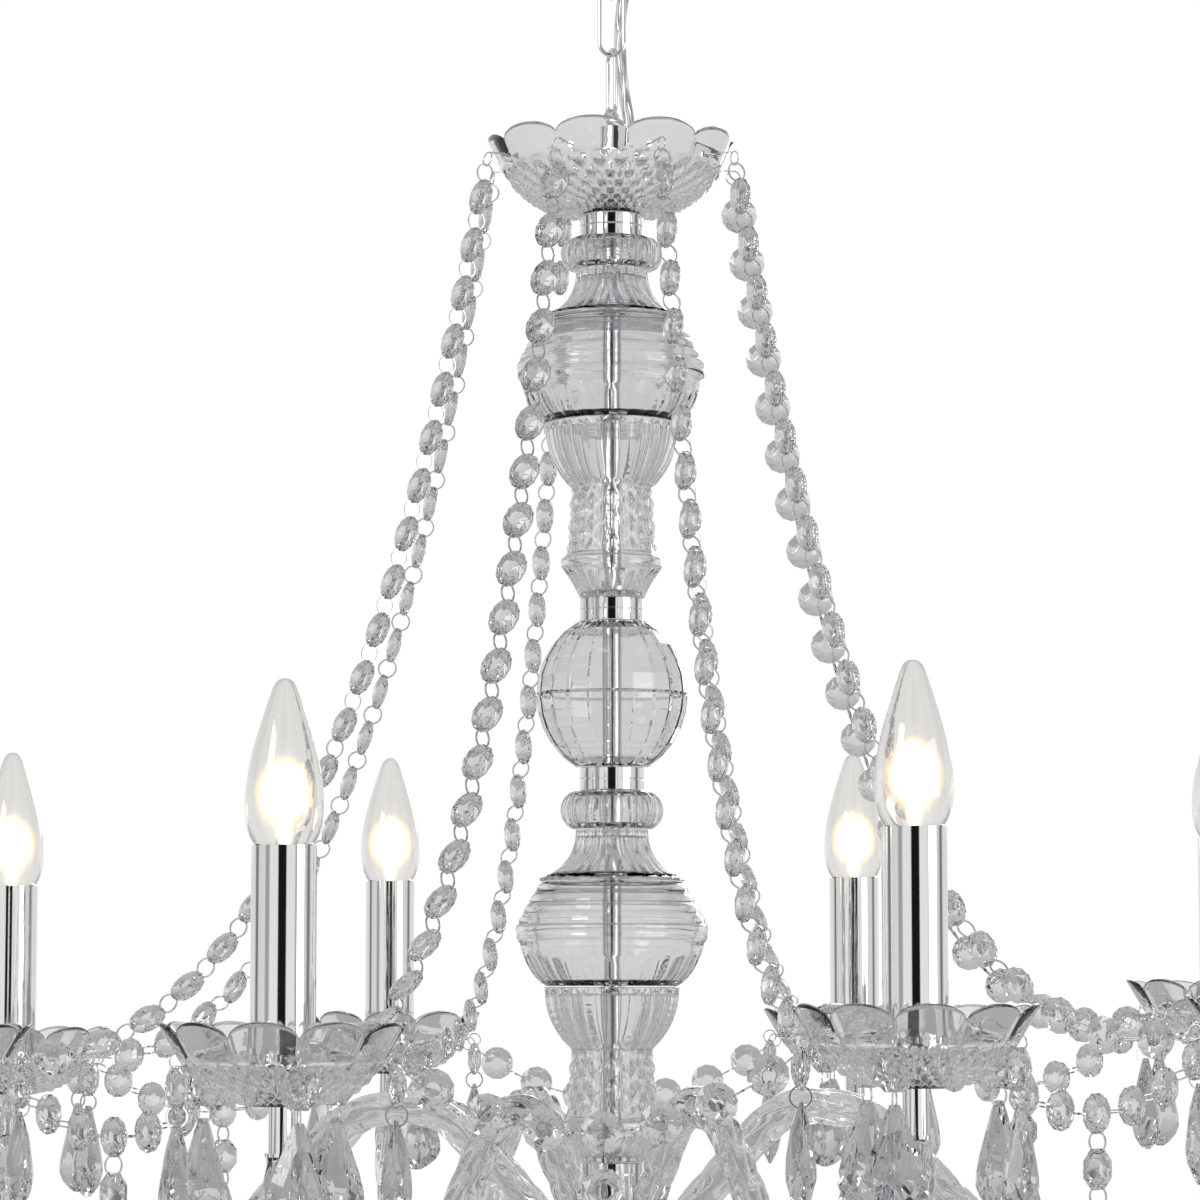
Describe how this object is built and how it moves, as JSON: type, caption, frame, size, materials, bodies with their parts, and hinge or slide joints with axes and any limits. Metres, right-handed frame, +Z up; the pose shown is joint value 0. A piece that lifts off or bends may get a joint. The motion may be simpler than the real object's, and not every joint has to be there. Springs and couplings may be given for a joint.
{
  "type": "chandelier",
  "caption": "Glass chandelier with twisted arms, candle lamps on scalloped drip pans, disc strings, swags and pendants, hung by chain links from a ceiling hook.",
  "frame": {"origin": "middle of the ceiling bracket's top face, in the plane of the ceiling", "axes": "+Z up; the column hangs down -Z; +X to the picture's right, +Y away from its camera"},
  "size_m": [0.7822, 0.7822, 0.8859],
  "materials": {
    "clear_glass": "clear moulded glass with cut facets",
    "cut_glass": "clear cut and polished glass",
    "bulb_glass": "thin clear glass, lit",
    "chrome": "polished chrome",
    "steel": "plated steel",
    "flex_cover": "clear flexible cover over silver cores",
    "wire_cover": "clear flexible cover",
    "plastic": "white moulded plastic",
    "holder_plastic": "black moulded plastic"
  },
  "bodies": {
    "ceiling": {"ceiling_bracket": "steel", "ceiling_hook": "chrome", "terminal_block": "plastic", "cup_screws": "steel"},
    "cup": {"ceiling_cup": "chrome"},
    "upper_link": {"chain_link_upper": "chrome"},
    "lower_link": {"chain_link_lower": "chrome"},
    "bulb_1": {"bulb_1": "bulb_glass"},
    "bulb_2": {"bulb_2": "bulb_glass"},
    "bulb_3": {"bulb_3": "bulb_glass"},
    "bulb_4": {"bulb_4": "bulb_glass"},
    "bulb_5": {"bulb_5": "bulb_glass"},
    "bulb_6": {"bulb_6": "bulb_glass"},
    "bulb_7": {"bulb_7": "bulb_glass"},
    "bulb_8": {"bulb_8": "bulb_glass"},
    "drop_ball": {"hanging_ball": "clear_glass"},
    "chandelier": {"arm_1": "clear_glass", "arm_2": "clear_glass", "arm_3": "clear_glass", "arm_4": "clear_glass", "arm_5": "clear_glass", "arm_6": "clear_glass", "arm_7": "clear_glass", "arm_8": "clear_glass", "arm_ferrules": "chrome", "arm_wires": "wire_cover", "bottom_dish": "clear_glass", "candle_sleeves": "chrome", "centre_ball": "clear_glass", "centre_rod": "steel", "collars": "chrome", "dish_pins": "steel", "drip_pans": "clear_glass", "finial": "chrome", "flex_bush": "plastic", "hub": "chrome", "hub_cover": "chrome", "hub_set_screw": "steel", "joining_rings": "steel", "lamp_holders": "holder_plastic", "lower_bell": "clear_glass", "lower_bowl": "clear_glass", "lower_melon_ring": "clear_glass", "lower_stem": "clear_glass", "pan_pins": "steel", "pendant_beads": "cut_glass", "pendant_drops": "cut_glass", "rod_nut": "chrome", "string_discs": "cut_glass", "supply_flex": "flex_cover", "swag_discs": "cut_glass", "top_dish": "clear_glass", "top_loop": "chrome", "upper_bell": "clear_glass", "upper_bowl": "clear_glass", "upper_melon_ring": "clear_glass", "upper_stem": "clear_glass"}
  },
  "joints": [
    {"name": "cup_slide", "type": "slide", "parent": "ceiling", "child": "cup", "axis": [0, 0, -1], "range_m": [0, 0.045]},
    {"name": "upper_link_swing", "type": "hinge", "parent": "ceiling", "child": "upper_link", "pos_m": [0, 0, -0.08035], "axis": [0, 1, 0], "range_deg": [-10, 10]},
    {"name": "lower_link_swing", "type": "hinge", "parent": "upper_link", "child": "lower_link", "pos_m": [0, 0, -0.11345], "axis": [1, 0, 0], "range_deg": [-10, 10]},
    {"name": "loop_swing", "type": "hinge", "parent": "lower_link", "child": "chandelier", "pos_m": [0, 0, -0.1456], "axis": [-0.3256, 0.9455, 0], "range_deg": [-10, 10], "deforming": ["supply_flex"]},
    {"name": "ball_swing", "type": "hinge", "parent": "chandelier", "child": "drop_ball", "pos_m": [0, 0, -0.84135], "axis": [1, 0, 0], "range_deg": [-30, 30]},
    {"name": "bulb_1_lift", "type": "slide", "parent": "chandelier", "child": "bulb_1", "axis": [0, 0, 1], "range_m": [0, 0.03]},
    {"name": "bulb_2_lift", "type": "slide", "parent": "chandelier", "child": "bulb_2", "axis": [0, 0, 1], "range_m": [0, 0.03]},
    {"name": "bulb_3_lift", "type": "slide", "parent": "chandelier", "child": "bulb_3", "axis": [0, 0, 1], "range_m": [0, 0.03]},
    {"name": "bulb_4_lift", "type": "slide", "parent": "chandelier", "child": "bulb_4", "axis": [0, 0, 1], "range_m": [0, 0.03]},
    {"name": "bulb_5_lift", "type": "slide", "parent": "chandelier", "child": "bulb_5", "axis": [0, 0, 1], "range_m": [0, 0.03]},
    {"name": "bulb_6_lift", "type": "slide", "parent": "chandelier", "child": "bulb_6", "axis": [0, 0, 1], "range_m": [0, 0.03]},
    {"name": "bulb_7_lift", "type": "slide", "parent": "chandelier", "child": "bulb_7", "axis": [0, 0, 1], "range_m": [0, 0.03]},
    {"name": "bulb_8_lift", "type": "slide", "parent": "chandelier", "child": "bulb_8", "axis": [0, 0, 1], "range_m": [0, 0.03]}
  ]
}
